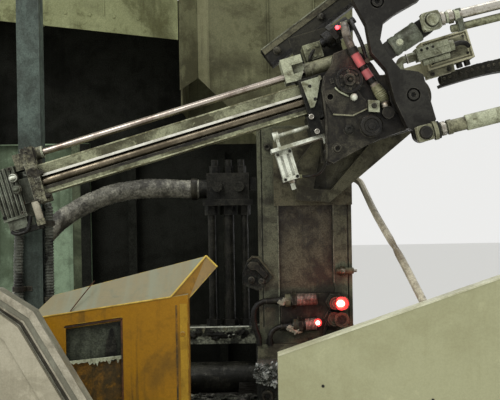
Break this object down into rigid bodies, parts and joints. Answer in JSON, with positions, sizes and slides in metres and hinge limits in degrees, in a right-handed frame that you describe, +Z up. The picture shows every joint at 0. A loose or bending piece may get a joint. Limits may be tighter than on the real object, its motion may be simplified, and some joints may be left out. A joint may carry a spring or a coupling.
{
  "type": "die casting machine",
  "caption": "Compact cold-chamber die casting machine with clamp platens, guards, fume hood and a mast-mounted swinging take-out arm driven by a parallel linkage.",
  "frame": {"origin": "centre of the bounding box's base, on the floor", "axes": "+X along the machine towards the shot end (the camera's right), +Y away from the operator, +Z up"},
  "size_m": [1.4, 1.2, 2.28],
  "materials": {
    "machine_green": "semi-gloss machine enamel, oily and worn",
    "cast_dark": "oily dark casting",
    "die_steel": "heat-stained tool steel",
    "bright_steel": "ground and hard-chromed bar",
    "mast_grey": "grey-green enamel with smears",
    "dark_steel": "oily dark metal",
    "black_oxide": "black oxide, satin",
    "guard_yellow": "dusty, stained yellow enamel",
    "panel_cream": "cream enamel, faded",
    "console_cream": "cream enamel",
    "console_edge": "extruded trim, anodised",
    "post_blue": "blue-grey enamel",
    "hood_green": "stained pale green sheet",
    "wall_dark": "sooty sheet",
    "hose_rubber": "dull black rubber",
    "chain_black": "moulded plastic",
    "tube_plastic": "polyurethane tube",
    "block_cream": "cream enamel on steel",
    "cylinder_alu": "anodised body, dusty",
    "shot_blue": "blue-grey enamel"
  },
  "bodies": {
    "machine": {"bed": "machine_green", "fixed_platen": "cast_dark", "moving_platen": "cast_dark", "tie_bars": "bright_steel", "fixed_die": "die_steel", "moving_die": "die_steel", "shot_frame": "machine_green", "shot_sleeve": "die_steel", "shot_cylinder": "shot_blue", "mast": "mast_grey", "mast_bracket": "mast_grey", "proximity_sensors": "dark_steel", "pipe_rail": "cast_dark", "manifold": "dark_steel", "standpipes": "dark_steel", "core_hose": "hose_rubber", "hose_foot": "dark_steel", "splash_guard": "guard_yellow", "splash_window": "guard_yellow", "right_guard": "panel_cream", "side_cabinet": "console_edge", "cabinet_door": "console_cream", "front_left_post": "post_blue", "front_right_post": "post_blue", "rear_posts": "post_blue", "roof_frame": "post_blue", "hood_skirt": "hood_green", "hood_duct": "hood_green", "rear_wall": "wall_dark", "rear_left_panel": "hood_green", "guard_stay": "mast_grey", "drive_column": "mast_grey", "gear_motor": "cast_dark", "cable_chain": "chain_black"},
    "head": {"swing_head": "dark_steel", "link_bar": "black_oxide", "upper_brace": "mast_grey", "rod_block": "block_cream", "rod_cylinder": "block_cream", "slide_block": "cast_dark", "gusset_plate": "block_cream", "lock_cylinder": "cylinder_alu", "stroke_sensor": "dark_steel", "junction_box": "block_cream", "air_valve": "cylinder_alu", "air_tubes": "tube_plastic"},
    "arm": {"guide_beam": "machine_green", "beam_shaft": "bright_steel", "top_rod": "bright_steel", "end_plate": "block_cream", "gripper_cylinder": "cylinder_alu", "gripper_jaws": "cast_dark"},
    "rocker": {"drive_rocker": "black_oxide"},
    "upper_link": {"upper_link_rod": "bright_steel"},
    "lower_link": {"lower_link_rod": "block_cream"}
  },
  "joints": [
    {"name": "arm_swing", "type": "hinge", "parent": "machine", "child": "head", "pos_m": [0.263, -0.2, 1.663], "axis": [0, 1, 0], "range_deg": [-8, 30]},
    {"name": "arm_stroke", "type": "slide", "parent": "head", "child": "arm", "axis": [0.9613, 0, 0.2756], "range_m": [0, 0.09]},
    {"name": "drive_turn", "type": "hinge", "parent": "machine", "child": "rocker", "pos_m": [0.58454, -0.3, 1.73723], "axis": [0, 1, 0], "range_deg": [-8, 30]},
    {"name": "upper_link_turn", "type": "hinge", "parent": "head", "child": "upper_link", "pos_m": [0.28803, -0.33, 1.77525], "axis": [0, 1, 0], "range_deg": [-30, 8]},
    {"name": "lower_link_turn", "type": "hinge", "parent": "head", "child": "lower_link", "pos_m": [0.27583, -0.33, 1.6001], "axis": [0, 1, 0], "range_deg": [-30, 8]}
  ],
  "couplings": [
    {"joint": "drive_turn", "follows": "arm_swing", "ratio": 1},
    {"joint": "upper_link_turn", "follows": "arm_swing", "ratio": -1},
    {"joint": "lower_link_turn", "follows": "arm_swing", "ratio": -1}
  ]
}
